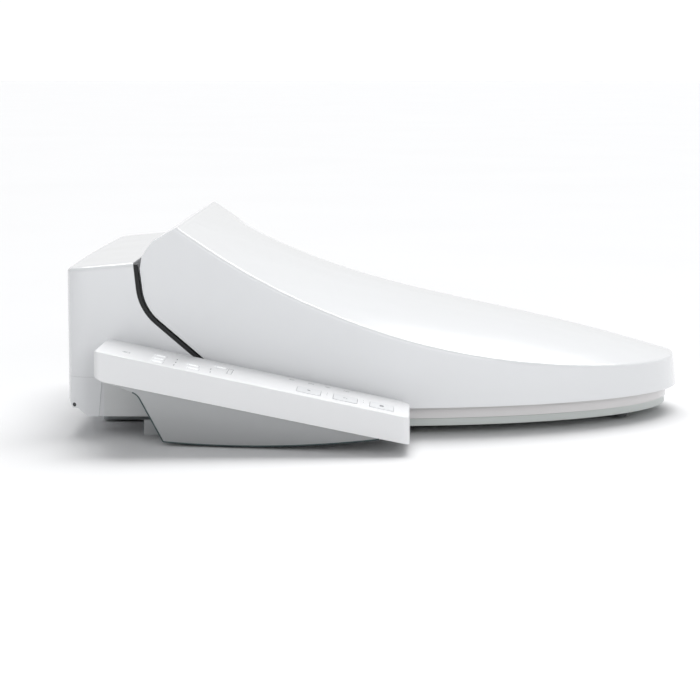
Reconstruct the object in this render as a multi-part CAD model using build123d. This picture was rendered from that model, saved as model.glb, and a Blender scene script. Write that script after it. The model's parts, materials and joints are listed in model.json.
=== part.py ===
from build123d import *
import math
import os

# Electric bidet seat, in millimetres.
# Frame: +Z up, -Y to the front of the seat, -X to the user's right (the control arm's side).
# Origin: midway between the two bowl bolts, on the plane of the bowl's rim (z = 0).

# ------------------------------------------------------------------ driving dimensions
HALF_W = 188.0                  # half width of the rear casing and of the lid's skirt
BACK_Y = 57.5                   # back wall at the casing's sides
BACK_BOW = 2.5                  # how far the back wall bows out at the middle
TIP_Y = -470.0                  # front tip of the lid
LID_FRONT_CENTRE_Y = -190.0     # centre of the half ellipse that rounds the lid's front
SKIRT_Z = 22.5                  # bottom edge of the lid's skirt
LID_WALL = 3.0
LID_SIDE_LEAN = 3.2              # how far the skirt's sides lean in by LID_LEAN_RISE above its edge
LID_TIP_LEAN = 17.0              # the same at the front tip
LID_LEAN_RISE = 155.0
LID_EDGE_GAP = 4.6               # lid's rear side edge stands this far off the casing's slope
SKIRT_REAR_Y = -107.0
LID_CORNER_Y = -9.0              # where the lid's rear side edge bends
LID_BEND_R = 40.0
LID_SHOULDER = [(-4.9, 139.0), (-6.5, 148.5), (-10.0, 154.5), (-15.5, 161.8)]
LID_ROUND = 3.0                  # rounding of the crease between the lid's top and its sides
RIDGE_Y, RIDGE_Z = -36.0, 173.5  # ridge across the lid's back
LID_MARGIN = 200.0              # half width of the lid's top surface before it is trimmed
LID_FALL_AT = 180.0             # distance from the middle at which the fall below is given
# stations along the lid's top: y, height at the middle, fall at LID_FALL_AT
LID_STATIONS = [
    (RIDGE_Y, RIDGE_Z, 0.0),
    (-70.0, 159.5, 8.5),
    (-110.0, 143.5, 15.5),
    (-160.0, 125.5, 20.5),
    (-220.0, 108.5, 25.0),
    (-290.0, 93.0, 30.0),
    (-360.0, 78.0, 34.5),
    (-420.0, 63.0, 38.5),
    (-480.0, 46.0, 42.0),
]

HINGE_Y, HINGE_Z = -36.0, 145.0  # common axis of the lid and the ring seat, along X
SHAFT_R = 5.0
FLAT = 3.6                      # distance of a driven shaft's flat from its axis
RUN_GAP = 0.05                  # radial running clearance
TOWER_X = (112.0, 146.0)
SEAT_LUG_X = (147.0, 158.0)
LID_LUG_X = (159.5, 170.0)
DAMPER_R = 11.5
DAMPER_END = 3.0                 # wall at the closed end of the barrel, and of the damper
BARREL_R = 16.0

CASE_BOTTOM_Z = 15.0
CASE_SPLIT_Z = 48.0
SPLIT_GAP = 0.05                 # each half of the casing stops this far from the split
CASE_WALL = 2.6
CASE_TOP_BACK_Z = 139.0
CASE_TOP_FRONT = (0.5, 144.0)
CASE_CORNER = (-3.7, 104.5)      # where the upright front wall turns into the slope
CASE_BEND_R = 45.0
SLOPE_DEG = 40.5                 # slope of the casing's front under the seat
CASE_FRONT_Y = -104.0
STRIP_THICK = 3.2                # black strip in the gap between casing and lid

SEAT_BOTTOM_Z = 6.0
SEAT_PART_Z = 12.4
SEAT_HALF_W = 178.0
SEAT_TIP_Y = -461.0
SEAT_WALL = 3.0
SEAT_ROUND = 9.0                 # rounding of the ring's upper edges
SEAT_REAR_Y = -97.0
SEAT_OVER_SLOPE = 6.5            # clearance of the seat's rear above the casing's slope
OPENING_CENTRE_Y = -255.0
OPENING_HALF_W = 106.0
OPENING_HALF_L = 130.0

ARM_OUT_X = -282.0
ARM_IN_X = -194.0
ARM_REAR_TOP = (21.5, 81.7)
ARM_FRONT_TOP = (-230.3, 28.7)
ARM_REAR_BOTTOM = (21.8, 60.5)
ARM_HEEL = (15.8, 56.8)
ARM_FRONT_BOTTOM = (-230.7, 6.9)
ARM_WALL = 2.5
BUTTON_X = -251.5                # middle of the button row
BUTTON_W, BUTTON_L = 30.0, 19.5
BUTTON_Y = (-149.0, -178.5, -208.0)
BUTTON_TRAVEL = 0.8
WINDOW_W, WINDOW_L = 8.5, 9.3
WINDOWS = [                      # x, y of the indicator windows
    (-232.0, -26.5), (-249.0, -26.5), (-265.5, -27.0),
    (-245.0, -54.2), (-262.0, -55.5), (-224.0, -75.0),
]

BOLT_SPACING = 140.0
BOLT_SLOT_R = 4.5
BOLT_SLOT_L = 30.0

NOZZLE_DEG = 28.0
NOZZLE_Y, NOZZLE_Z = -100.0, 20.0  # tip of the stored wand
WAND_R = 7.0
WAND_L = 150.0
PINION_AT = 45.0                 # distance of the pinion behind the stored tip
MODULE = 1.0
PINION_TEETH = 14
RACK_PITCH_X = 10.5
RACK_ADDENDUM = 0.7
GEAR_THIN = 0.1                  # taken off each flank for backlash

FAN_Y, FAN_Z = 30.0, 50.0


# ------------------------------------------------------------------ helpers
parts = {}


def block(x0, x1, y0, y1, z0, z1):
    """Box between two corners."""
    return Pos((x0 + x1) / 2, (y0 + y1) / 2, (z0 + z1) / 2) * Box(abs(x1 - x0), abs(y1 - y0), abs(z1 - z0))


def side_prism(points, x0, x1):
    """Prism along X with an outline given as (y, z) points."""
    outline = make_face(Polyline(*points, close=True))
    return Pos(x0, 0, 0) * extrude(Plane.YZ * outline, amount=x1 - x0)


def prism_from(face, x0, x1):
    """Prism along X of a face drawn in (y, z)."""
    return Pos(x0, 0, 0) * extrude(Plane.YZ * face, amount=x1 - x0)


def rod_x(x0, x1, y, z, r):
    """Round bar along X."""
    return Pos((x0 + x1) / 2, y, z) * Rot(0, 90, 0) * Cylinder(r, abs(x1 - x0))


def rod_y(y0, y1, x, z, r):
    """Round bar along Y."""
    return Pos(x, (y0 + y1) / 2, z) * Rot(90, 0, 0) * Cylinder(r, abs(y1 - y0))


def rod_z(z0, z1, x, y, r):
    """Round bar along Z."""
    return Pos(x, y, (z0 + z1) / 2) * Cylinder(r, abs(z1 - z0))


def both_sides(make):
    """The same piece on the user's right (-X) and left (+X)."""
    right = make()
    return right, mirror(right, about=Plane.YZ)


def tube(points, radii, outer, inner):
    """Hose along straight runs joined by tangent arcs."""
    path = FilletPolyline(*points, radius=radii)
    start = Plane(origin=path @ 0, z_dir=path % 0)
    ring = start * (Circle(outer) - Circle(inner))
    return sweep(ring, path=path)


# ------------------------------------------------------------------ lid
def front_outline(half_w, tip_y, centre_y, rear_y, inset=0.0):
    """Plan outline: straight sides, half an ellipse at the front."""
    nose = Pos(0, centre_y) * Ellipse(half_w - inset, centre_y - tip_y - inset)
    sides = Pos(0, (centre_y + rear_y) / 2) * Rectangle(2 * (half_w - inset), rear_y - centre_y)
    behind = Pos(0, rear_y + 200) * Rectangle(3 * half_w, 400)
    return nose + sides - behind


def lid_wall_outline(z, inset, rear_y):
    """Plan outline of the lid's skirt at one height, leaning in as it rises."""
    share = (z - SKIRT_Z) / LID_LEAN_RISE
    half_w = HALF_W - inset - LID_SIDE_LEAN * share
    nose_l = LID_FRONT_CENTRE_Y - TIP_Y - inset - LID_TIP_LEAN * share
    centre_y = LID_FRONT_CENTRE_Y
    edges = [
        Line((-half_w, rear_y), (-half_w, centre_y)),
        EllipticalCenterArc((0, centre_y), half_w, nose_l, start_angle=180, arc_size=180),
        Line((half_w, centre_y), (half_w, rear_y)),
        Line((half_w, rear_y), (-half_w, rear_y)),
    ]
    return Pos(0, 0, z) * make_face(edges)


def inside_skirt(inset, rear_y):
    """Everything within the lid's skirt."""
    low, high = SKIRT_Z - 5, SKIRT_Z + LID_LEAN_RISE
    return loft([lid_wall_outline(low, inset, rear_y), lid_wall_outline(high, inset, rear_y)], ruled=True)


def lid_section(y, z_mid, fall, lower):
    """Cross-section under the lid's crowned top at one station."""
    z_edge = z_mid - fall * (LID_MARGIN / LID_FALL_AT) ** 2 - lower
    crest = z_mid - lower
    top = Bezier((LID_MARGIN, z_edge), (0, 2 * crest - z_edge), (-LID_MARGIN, z_edge))
    base_z = -60.0
    rest = Polyline((-LID_MARGIN, z_edge), (-LID_MARGIN, base_z), (LID_MARGIN, base_z),
                    (LID_MARGIN, z_edge))
    return Plane.XZ.offset(-y) * make_face([top, rest])


def under_lid_top(lower):
    """Everything under the lid's top surface, lowered by a wall thickness."""
    sections = [lid_section(y, z, fall, lower) for y, z, fall in LID_STATIONS]
    front = loft(sections)
    back = block(-LID_MARGIN, LID_MARGIN, RIDGE_Y, 30, -60, RIDGE_Z - lower)
    return front + back


def slope_z(y, rise=0.0):
    """Height of the casing's front slope at y, raised square to the slope."""
    tan = math.tan(math.radians(SLOPE_DEG))
    return CASE_CORNER[1] + (y - CASE_CORNER[0]) * tan + rise / math.cos(math.radians(SLOPE_DEG))


def lid_back_outline():
    """(y, z) region of the lid: back slope, rounded shoulder, rear edge of the skirt."""
    foot = (SKIRT_REAR_Y, slope_z(SKIRT_REAR_Y, LID_EDGE_GAP))
    corner = (LID_CORNER_Y, slope_z(LID_CORNER_Y, LID_EDGE_GAP))
    edge = FilletPolyline(foot, corner, LID_SHOULDER[0], radius=LID_BEND_R)
    rest = Polyline(*LID_SHOULDER, (RIDGE_Y, RIDGE_Z), (RIDGE_Y, 220.0), (TIP_Y - 20, 220.0),
                    (TIP_Y - 20, SKIRT_Z), (SKIRT_REAR_Y, SKIRT_Z), foot)
    return make_face([edge, rest])


def lid_shell():
    sides = prism_from(lid_back_outline(), -LID_MARGIN, LID_MARGIN)
    outer = inside_skirt(0, 10) & under_lid_top(0) & sides
    top_face = max((f for f in outer.faces() if f.normal_at().Z > 0.5), key=lambda f: f.area)
    return fillet(top_face.edges(), LID_ROUND)


def lid_hollow():
    w = LID_WALL
    inner = inside_skirt(w, 40)
    back = side_prism([(TIP_Y - 20, 0), (40, 0), (40, 141), (-7.9, 141), (-9.4, 147.5), (-12.6, 153.0),
                       (-17.6, 159.4), (RIDGE_Y, RIDGE_Z - 3.5), (RIDGE_Y, 220), (TIP_Y - 20, 220)],
                      -LID_MARGIN, LID_MARGIN)
    return inner & under_lid_top(w) & back


lid_space = lid_hollow()
lid_outer = lid_shell()
lid = lid_outer - lid_space
parts["lid"] = lid


def lid_lug():
    """Lug that hangs from the lid's underside to the hinge axis, on the user's right."""
    x0, x1 = -LID_LUG_X[1], -LID_LUG_X[0]
    plate = side_prism([(-60, 165), (-47.5, 141), (-24.5, 141), (-16, 165)], x0, x1)
    lug = (plate + rod_x(x0, x1, HINGE_Y, HINGE_Z,
                         12.0) + side_prism([(-60, 150), (-16, 150), (-16, 172), (-60, 172)], x0, x1))
    return lug & lid_space


lug_right, lug_left = both_sides(lid_lug)
bush_out = 8.0
axis_cut = rod_x(-200, 200, HINGE_Y, HINGE_Z, SHAFT_R)
bush_bore = rod_x(-200, 200, HINGE_Y, HINGE_Z, SHAFT_R + RUN_GAP)
lug_right = lug_right - rod_x(-200, 0, HINGE_Y, HINGE_Z, bush_out)
lug_left = lug_left - axis_cut
lid_flat = block(LID_LUG_X[0], LID_LUG_X[1] + 3, HINGE_Y - 10, HINGE_Y + 10, HINGE_Z + FLAT, HINGE_Z + 10)
lug_left = lug_left + (rod_x(*LID_LUG_X, HINGE_Y, HINGE_Z, SHAFT_R) & lid_flat)
parts["lid_hinge_lugs"] = Compound([lug_right, lug_left])
parts["lid_bush"] = rod_x(-LID_LUG_X[1], -LID_LUG_X[0], HINGE_Y, HINGE_Z, bush_out) - bush_bore

LID_PAD_AT = [(-66, -404), (66, -404), (-142, -236), (142, -236)]


# ------------------------------------------------------------------ rear casing
def casing_plan(inset=0.0):
    """Plan outline of the rear casing: rounded back corners, bowed back."""
    w, y, r = HALF_W - inset, BACK_Y - inset, 18.0 - inset / 2
    front = CASE_FRONT_Y + inset
    diag = r * (1 - math.sqrt(0.5))
    edges = [
        Line((-w, front), (-w, y - r)),
        ThreePointArc((-w, y - r), (-w + diag, y - diag), (-w + r, y)),
        ThreePointArc((-w + r, y), (0, y + BACK_BOW), (w - r, y)),
        ThreePointArc((w - r, y), (w - diag, y - diag), (w, y - r)),
        Line((w, y - r), (w, front)),
        Line((w, front), (-w, front)),
    ]
    return make_face(edges)


def casing_side(inset=0.0):
    """(y, z) outline of the rear casing."""
    far_y = BACK_Y + 6.5
    upright = Polyline((far_y, CASE_TOP_BACK_Z - 0.6), CASE_TOP_FRONT)
    slope_foot = (CASE_FRONT_Y, slope_z(CASE_FRONT_Y))
    front = FilletPolyline(CASE_TOP_FRONT, CASE_CORNER, slope_foot, radius=CASE_BEND_R)
    bottom = Polyline(slope_foot, (CASE_FRONT_Y, CASE_BOTTOM_Z), (40, CASE_BOTTOM_Z), (48, 21.5),
                      (53.5, 21.5),
                      (60.5, 34), (far_y, 34), (far_y, CASE_TOP_BACK_Z - 0.6))
    face = make_face([upright, front, bottom])
    if inset:
        face = offset(face, -inset, kind=Kind.INTERSECTION)
    return face


def casing_volume(inset=0.0):
    plan = extrude(Pos(0, 0, 5) * casing_plan(inset), amount=160)
    return plan & prism_from(casing_side(inset), -200, 200)


case_outer = casing_volume()
top_back = case_outer.edges().filter_by_position(Axis.Z, CASE_TOP_BACK_Z - 2,
                                                 CASE_TOP_BACK_Z + 3).filter_by_position(
    Axis.Y, 30, 70)
case_outer = fillet(top_back, 4.0)
case_space = casing_volume(CASE_WALL)
case_shell = case_outer - case_space

nozzle_rad = math.radians(NOZZLE_DEG)
wand_frame = Plane(origin=(0, NOZZLE_Y, NOZZLE_Z), x_dir=(1, 0, 0),
                   z_dir=(0, -math.sin(nozzle_rad), math.cos(nozzle_rad)))


def along_wand(y0, y1, r, x=0.0, z=0.0):
    """Round bar along the wand's axis, y measured back from the stored tip."""
    return wand_frame * rod_y(y0, y1, x, z, r)


def wand_block(x0, x1, y0, y1, z0, z1):
    return wand_frame * block(x0, x1, y0, y1, z0, z1)


HOOD_R = 12.5
HOOD_BORE_R = 10.0
hood_cut = along_wand(-60, 62, HOOD_R)

# openings for the deodoriser cartridge and the release button, and the side panel's recess
CART_X = (121.0, 189.0)
CART_Y = (24.0, 50.0)
CART_Z = (34.0, 62.0)
RELEASE_Y, RELEASE_Z, RELEASE_R = -20.0, 27.0, 7.0
INLET_X, INLET_Y, INLET_R = 150.0, 7.0, 10.48
GLAND_X, GLAND_Y, GLAND_R = -150.0, 22.0, 7.0
DRAIN_X, DRAIN_Y, DRAIN_R = -124.0, -30.0, 6.0
PANEL_Y = (-30.0, 26.0)
PANEL_Z = (15.0, 56.0)
PANEL_DEEP = 1.6
PLUG_Y, PLUG_Z, PLUG_R = 51.5, 24.2, 1.7

cart_hole = block(170, 200, CART_Y[0] - 0.5, CART_Y[1] + 0.5, CART_Z[0] - 0.5, CART_Z[1] + 0.5)
release_hole = rod_x(170, 200, RELEASE_Y, RELEASE_Z, RELEASE_R + 0.4)
inlet_hole = rod_z(5, 25, INLET_X, INLET_Y, 14.0)
gland_hole = rod_z(5, 25, GLAND_X, GLAND_Y, GLAND_R)
drain_hole = rod_z(5, 25, DRAIN_X, DRAIN_Y, DRAIN_R + RUN_GAP)
panel_outline = [(PANEL_Y[0], PANEL_Z[0] - 1), (PANEL_Y[1] + 4.5, PANEL_Z[0] - 1),
                 (PANEL_Y[1] + 0.6, PANEL_Z[1]),
                 (PANEL_Y[0], PANEL_Z[1])]
panel_seat = side_prism(panel_outline, -200, -HALF_W + PANEL_DEEP)
plug_hole = rod_x(-200, -170, PLUG_Y, PLUG_Z, PLUG_R)
SCREW_AT = [(-110, 30), (110, -8), (-165, -40), (165, -40), (-70, -60), (70, -60)]
POST_R, SCREW_R, SCREW_HEAD_R = 4.5, 1.9, 3.6

lower = case_shell & block(-250, 250, -150, 100, 0, CASE_SPLIT_Z - SPLIT_GAP)
upper = case_shell & block(-250, 250, -150, 100, CASE_SPLIT_Z + SPLIT_GAP, 200)
for x, y in SCREW_AT:
    top_z = min(CASE_SPLIT_Z - 2, slope_z(y) - 4.5)
    lower = lower + rod_z(CASE_BOTTOM_Z + CASE_WALL - 0.1, top_z, x, y, POST_R)
screws = []
for x, y in SCREW_AT:
    top_z = min(CASE_SPLIT_Z - 2, slope_z(y) - 4.5)
    body = rod_z(CASE_BOTTOM_Z + 2.0, top_z - 2, x, y, SCREW_R) + rod_z(CASE_BOTTOM_Z, CASE_BOTTOM_Z + 2.0,
                                                                        x, y, SCREW_HEAD_R)
    lower = lower - body
    slot = block(x - 2.2, x + 2.2, y - 0.4, y + 0.4, CASE_BOTTOM_Z - 1, CASE_BOTTOM_Z + 1)
    screws.append(body - slot)
for cut in (hood_cut, cart_hole, release_hole, inlet_hole, gland_hole, drain_hole, panel_seat, plug_hole):
    lower = lower - cut
    upper = upper - cut
parts["lower_casing"] = lower
parts["upper_casing"] = upper
parts["casing_screws"] = Compound(screws)

panel = side_prism([(PANEL_Y[0] + 0.2, PANEL_Z[0]), (PANEL_Y[1], PANEL_Z[0]),
                    (PANEL_Y[1] - 0.6, PANEL_Z[1] - 0.2),
                    (PANEL_Y[0] + 0.2, PANEL_Z[1] - 0.2)], -HALF_W + 0.2, -HALF_W + PANEL_DEEP)
parts["side_panel"] = panel
parts["edge_plug"] = rod_x(-HALF_W, -HALF_W + 9.0, PLUG_Y, PLUG_Z, PLUG_R) & case_outer


def gap_strip():
    """Black strip on the casing's front, filling the gap beside the lid's skirt, on the user's right."""
    body = casing_side()
    grown = offset(body, STRIP_THICK, kind=Kind.ARC)
    window = Pos((CASE_FRONT_Y + 1.0) / 2, 81) * Rectangle(-CASE_FRONT_Y + 9.0, 123)
    band = (grown - body) & window
    strip = prism_from(band, -HALF_W + 1.2, -HALF_W + 6.0)
    return strip & block(-200, 0, CASE_FRONT_Y, 4, 19.5, 142.5)


parts["gap_strips"] = Compound([*both_sides(gap_strip)])


# ------------------------------------------------------------------ hinges
def tower():
    """Bracket that carries the hinge barrel from the casing's slope, on the user's right."""
    x0, x1 = -TOWER_X[1], -TOWER_X[0]
    lip_sweep_r = 36.0
    foot = [(-86, slope_z(-86)), (-34, slope_z(-34)), (-34, slope_z(-34) + 14), (-52, 118), (-47, 132),
            (-36, 133),
            (-50, 146), (-66, 128), (-86, slope_z(-86) + 10)]
    keep = side_prism([(HINGE_Y, HINGE_Z), (HINGE_Y - 60, HINGE_Z + 2), (HINGE_Y - 60, HINGE_Z - 84)], x0,
                      x1)
    foot = side_prism(foot, x0, x1)
    foot = foot - (rod_x(x0, x1, HINGE_Y, HINGE_Z, lip_sweep_r) - keep)
    foot = foot - side_prism([(-150, slope_z(-150)), (20, slope_z(20)), (20, -100), (-150, -100)], x0, x1)
    body = foot + rod_x(x0, x1, HINGE_Y, HINGE_Z, BARREL_R)
    return body - rod_x(x0, x1 - DAMPER_END, HINGE_Y, HINGE_Z, DAMPER_R)


parts["hinge_brackets"] = Compound([*both_sides(tower)])


def damper():
    """Rotary soft-close damper in the bracket's barrel, on the user's right."""
    body = rod_x(-TOWER_X[1], -TOWER_X[0] - DAMPER_END, HINGE_Y, HINGE_Z, DAMPER_R)
    bore = rod_x(-TOWER_X[1] - 1, -TOWER_X[0] - 2 * DAMPER_END, HINGE_Y, HINGE_Z, SHAFT_R + RUN_GAP)
    return body - bore


parts["soft_close_dampers"] = Compound([*both_sides(damper)])

SHAFT_END_X = 172.0
inner_end = TOWER_X[0] + 8.0
seat_flat = block(-SEAT_LUG_X[1], -SEAT_LUG_X[0], HINGE_Y - 10, HINGE_Y + 10, HINGE_Z + FLAT, HINGE_Z + 10)
parts["seat_damper_shaft"] = rod_x(-SHAFT_END_X, -inner_end, HINGE_Y, HINGE_Z, SHAFT_R) - seat_flat
parts["lid_damper_shaft"] = rod_x(inner_end, SHAFT_END_X, HINGE_Y, HINGE_Z, SHAFT_R) - lid_flat


# ------------------------------------------------------------------ ring seat
def seat_outline(inset=0.0):
    return front_outline(SEAT_HALF_W, SEAT_TIP_Y, LID_FRONT_CENTRE_Y, SEAT_REAR_Y, inset)


def seat_opening(grow=0.0):
    return Pos(0, OPENING_CENTRE_Y) * Ellipse(OPENING_HALF_W + grow, OPENING_HALF_L + grow)


SEAT_TOP = [(SEAT_TIP_Y - 5, 33.0), (-430.0, 37.5), (-300.0, 42.0), (-200.0, 51.0), (-140.0, 62.0),
            (SEAT_REAR_Y, 77.0)]


def under_seat_top(lower):
    """Everything under the ring seat's top, from below the floor."""
    top = Spline(*[(y, z - lower) for y, z in SEAT_TOP])
    rest = Polyline((SEAT_TOP[-1][0], SEAT_TOP[-1][1] - lower), (SEAT_TOP[-1][0], -5), (SEAT_TOP[0][0], -5),
                    (SEAT_TOP[0][0], SEAT_TOP[0][1] - lower))
    return prism_from(make_face([top, rest]), -200, 200)


def seat_ring(z0, inset, lower):
    tall = 90
    ring = extrude(Pos(0, 0, z0) * seat_outline(inset), amount=tall) & under_seat_top(lower)
    hole = extrude(Pos(0, 0, z0) * seat_opening(-inset), amount=tall)
    return ring - hole


over_slope = [(-125.0, -10.0), (-125.0, slope_z(-125.0, SEAT_OVER_SLOPE)),
              (-60.0, slope_z(-60.0, SEAT_OVER_SLOPE)), (-60.0, -10.0)]
over_inner = [(-129.0, -10.0), (-129.0, slope_z(-129.0, SEAT_OVER_SLOPE + SEAT_WALL)),
              (-60.0, slope_z(-60.0, SEAT_OVER_SLOPE + SEAT_WALL)), (-60.0, -10.0)]
rear_clear = side_prism(over_slope, -200, 200)
rear_liner = side_prism(over_inner, -200, 200)
arch = block(-62, 62, -150, SEAT_REAR_Y + 30, 0, 36)
arch_liner = block(-65, 65, -153, SEAT_REAR_Y + 30, 0, 39)
seat_solid = seat_ring(SEAT_PART_Z, 0, 0)
curved_edges = [e for e in seat_solid.edges() if e.geom_type != GeomType.LINE]
crest_edges = [e for e in curved_edges if e.center().Z > 28 and e.length > 60]
seat_solid = fillet(crest_edges, SEAT_ROUND)
seat_core = seat_ring(SEAT_PART_Z - 3, SEAT_WALL, SEAT_WALL)
seat_upper = seat_solid - rear_clear - arch - (seat_core - arch_liner - rear_liner)


def seat_arm():
    """Arm from the ring up to the hinge lug, on the user's right."""
    foot_y = SEAT_REAR_Y - 5
    heel_y = -66.0
    wide = [(foot_y, slope_z(foot_y, SEAT_OVER_SLOPE)), (heel_y, slope_z(heel_y, SEAT_OVER_SLOPE)),
            (-74, 112),
            (-86, 104), (foot_y, 73.0)]
    narrow = [(heel_y, slope_z(heel_y, SEAT_OVER_SLOPE)), (heel_y, 105), (-25, 138), (-44, 157), (-64, 148),
              (-80, 126), (-86, 104)]
    lip_sweep = side_prism([(HINGE_Y, HINGE_Z), (heel_y, 105), (heel_y, 40), (40, 40), (40, HINGE_Z)], -200,
                           0)
    lip_sweep = lip_sweep - rod_x(-200, 0, HINGE_Y, HINGE_Z, 22.0)
    body = side_prism(wide, -171, -SEAT_LUG_X[0]) + side_prism(narrow, -SEAT_LUG_X[1], -SEAT_LUG_X[0])
    body = body + rod_x(-SEAT_LUG_X[1], -SEAT_LUG_X[0], HINGE_Y, HINGE_Z, 15.0)
    return body - lip_sweep


arm_right, arm_left = both_sides(seat_arm)
arm_right = arm_right - (rod_x(-SEAT_LUG_X[1], -SEAT_LUG_X[0], HINGE_Y, HINGE_Z, SHAFT_R) - seat_flat)
arm_left = arm_left - rod_x(*SEAT_LUG_X, HINGE_Y, HINGE_Z, bush_out)
parts["seat_upper"] = seat_upper + arm_right + arm_left
parts["seat_bush"] = rod_x(*SEAT_LUG_X, HINGE_Y, HINGE_Z, bush_out) - bush_bore

SEAT_FLOOR = 2.6
lower_ring = extrude(Pos(0, 0, SEAT_BOTTOM_Z) * (seat_outline(1.2) - seat_opening(1.2)),
                     amount=SEAT_PART_Z - 0.3 - SEAT_BOTTOM_Z)
lower_core = extrude(Pos(0, 0, SEAT_BOTTOM_Z + SEAT_FLOOR) * (seat_outline(4.0) - seat_opening(4.0)),
                     amount=20)
seat_back_cut = block(-200, 200, -118, SEAT_REAR_Y + 30, 0, 60)
seat_lower = lower_ring - lower_core - block(-66, 66, -154, SEAT_REAR_Y + 30, 0, 60) - seat_back_cut
parts["seat_lower"] = seat_lower

heater_face = seat_outline(16) - seat_opening(16)
heater = extrude(Pos(0, 0, SEAT_BOTTOM_Z + SEAT_FLOOR) * heater_face, amount=0.8)
parts["seat_heater"] = heater - block(-75, 75, -160, SEAT_REAR_Y + 30, 0, 60) - block(-200, 200, -124,
                                                                                      SEAT_REAR_Y + 30, 0, 60)


def seat_pads():
    """Two-step pads under the ring: a wide base and a narrower foot."""
    pads = []
    for x, y, turn in ((-62, -411, 28), (62, -411, -28), (-146, -218, 78), (146, -218, -78)):
        base = extrude(SlotOverall(36, 18), amount=SEAT_BOTTOM_Z - 2.8)
        foot = extrude(SlotOverall(28, 12), amount=2.8, taper=-15)
        pads.append(Pos(x, y, 0) * Rot(0, 0, turn) * (Pos(0, 0, 2.8) * base + foot))
    return Compound(pads)


parts["seat_bumpers"] = seat_pads()


def seat_top_z(y):
    """Height of the ring seat's top at y."""
    near = sorted(SEAT_TOP, key=lambda point: abs(point[0] - y))[:2]
    (y0, z0), (y1, z1) = sorted(near)
    return z0 + (y - y0) * (z1 - z0) / (y1 - y0)


LID_PAD_RISE = 1.6
lid_pads = [rod_z(seat_top_z(y) + LID_PAD_RISE, 140, x, y, 7.0) & lid_space for x, y in LID_PAD_AT]
parts["lid_bumpers"] = Compound(lid_pads)


# ------------------------------------------------------------------ control arm
def arm_slope():
    return (ARM_REAR_TOP[1] - ARM_FRONT_TOP[1]) / (ARM_REAR_TOP[0] - ARM_FRONT_TOP[0])


def arm_top_z(y):
    return ARM_REAR_TOP[1] + (y - ARM_REAR_TOP[0]) * arm_slope()


def arm_low_z(y):
    slope = (ARM_HEEL[1] - ARM_FRONT_BOTTOM[1]) / (ARM_HEEL[0] - ARM_FRONT_BOTTOM[0])
    return ARM_HEEL[1] + (y - ARM_HEEL[0]) * slope


tilt = math.atan(arm_slope())


def arm_plane(x, y):
    """Plane on the arm's top at (x, y): local x across, local y back along the slope, z square to it."""
    return Plane(origin=(x, y, arm_top_z(y)), x_dir=(1, 0, 0), z_dir=(0, -math.sin(tilt), math.cos(tilt)))


arm_side = [ARM_REAR_TOP, ARM_REAR_BOTTOM, ARM_HEEL, ARM_FRONT_BOTTOM, ARM_FRONT_TOP]
arm_solid = side_prism(arm_side, ARM_OUT_X, ARM_IN_X)
uprights = [e for e in arm_solid.edges().filter_by(GeomType.LINE) if abs(e.tangent_at(0).Z) > 0.9]
uprights = sorted(uprights, key=lambda e: e.center().X - e.center().Y)
arm_solid = fillet(uprights[-1], 12.0)
uprights = [e for e in arm_solid.edges().filter_by(GeomType.LINE) if abs(e.tangent_at(0).Z) > 0.9]
uprights = [e for e in uprights if e.center().X < (ARM_OUT_X + ARM_IN_X) / 2 or e.center().Y > 0]
arm_solid = fillet(uprights, 5.0)
arm_solid = fillet(arm_solid.faces().sort_by(Axis.Z)[-1].edges(), 1.4)
w = ARM_WALL
arm_inside = side_prism([(ARM_REAR_TOP[0] - w, arm_top_z(ARM_REAR_TOP[0] - w) - w),
                         (ARM_REAR_BOTTOM[0] - w, 0), (ARM_FRONT_BOTTOM[0] + w, 0),
                         (ARM_FRONT_TOP[0] + w, arm_top_z(ARM_FRONT_TOP[0] + w) - w)],
                        ARM_OUT_X + w, ARM_IN_X - w)
NECK_Y = (-1.5, 19.0)
neck_outline = [(NECK_Y[1], arm_top_z(NECK_Y[1]) - 1.4), (NECK_Y[1], 58.0), (NECK_Y[0], 56.5),
                (NECK_Y[0], arm_top_z(NECK_Y[0]) - 1.4)]
neck = side_prism(neck_outline, ARM_IN_X - 6, -HALF_W) - block(-260, -199.9, -50, 50, 0, 120)
arm_cover = arm_solid + neck - arm_inside
neck_duct = rod_x(-210, -180, 8.0, 68.0, 4.0)
arm_cover = arm_cover - neck_duct
parts["upper_casing"] = parts["upper_casing"] - neck_duct

BUTTON_GAP = 0.3
KEY_PROUD, KEY_DEEP = 0.4, 2.2
switches = []
button_names = ("stop_button", "rear_wash_button", "front_wash_button")
for name, y in zip(button_names, reversed(BUTTON_Y)):
    at = arm_plane(BUTTON_X, y)
    hole = at * extrude(RectangleRounded(BUTTON_W + 2 * BUTTON_GAP, BUTTON_L + 2 * BUTTON_GAP, 2.3),
                        amount=6, both=True)
    arm_cover = arm_cover - hole
    cap = at * Pos(0, 0, -KEY_DEEP) * extrude(RectangleRounded(BUTTON_W, BUTTON_L, 2.0),
                                              amount=KEY_DEEP + KEY_PROUD)
    stem = at * rod_z(-4.2, -KEY_DEEP, 0, 0, 2.0)
    parts[name] = cap + stem
    switch = at * (block(-3, 3, -3, 3, -8.5, -6.2) + rod_z(-6.2, -4.2 - BUTTON_TRAVEL - 0.1, 0, 0, 1.5))
    switches.append(switch)
windows = []
for x, y in WINDOWS:
    at = arm_plane(x, y)
    light = at * Pos(0, 0, -ARM_WALL - 0.5) * extrude(RectangleRounded(WINDOW_W, WINDOW_L, 1.2),
                                                      amount=ARM_WALL + 0.5)
    arm_cover = arm_cover - light
    windows.append(light)
parts["arm_cover"] = arm_cover
parts["key_switches"] = Compound(switches)
parts["indicator_windows"] = Compound(windows)
board_mid_y = -105.0
board = arm_plane(-240.0, board_mid_y) * block(-34, 34, -112, 112, -10.1, -8.5)
parts["arm_board"] = board

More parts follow.
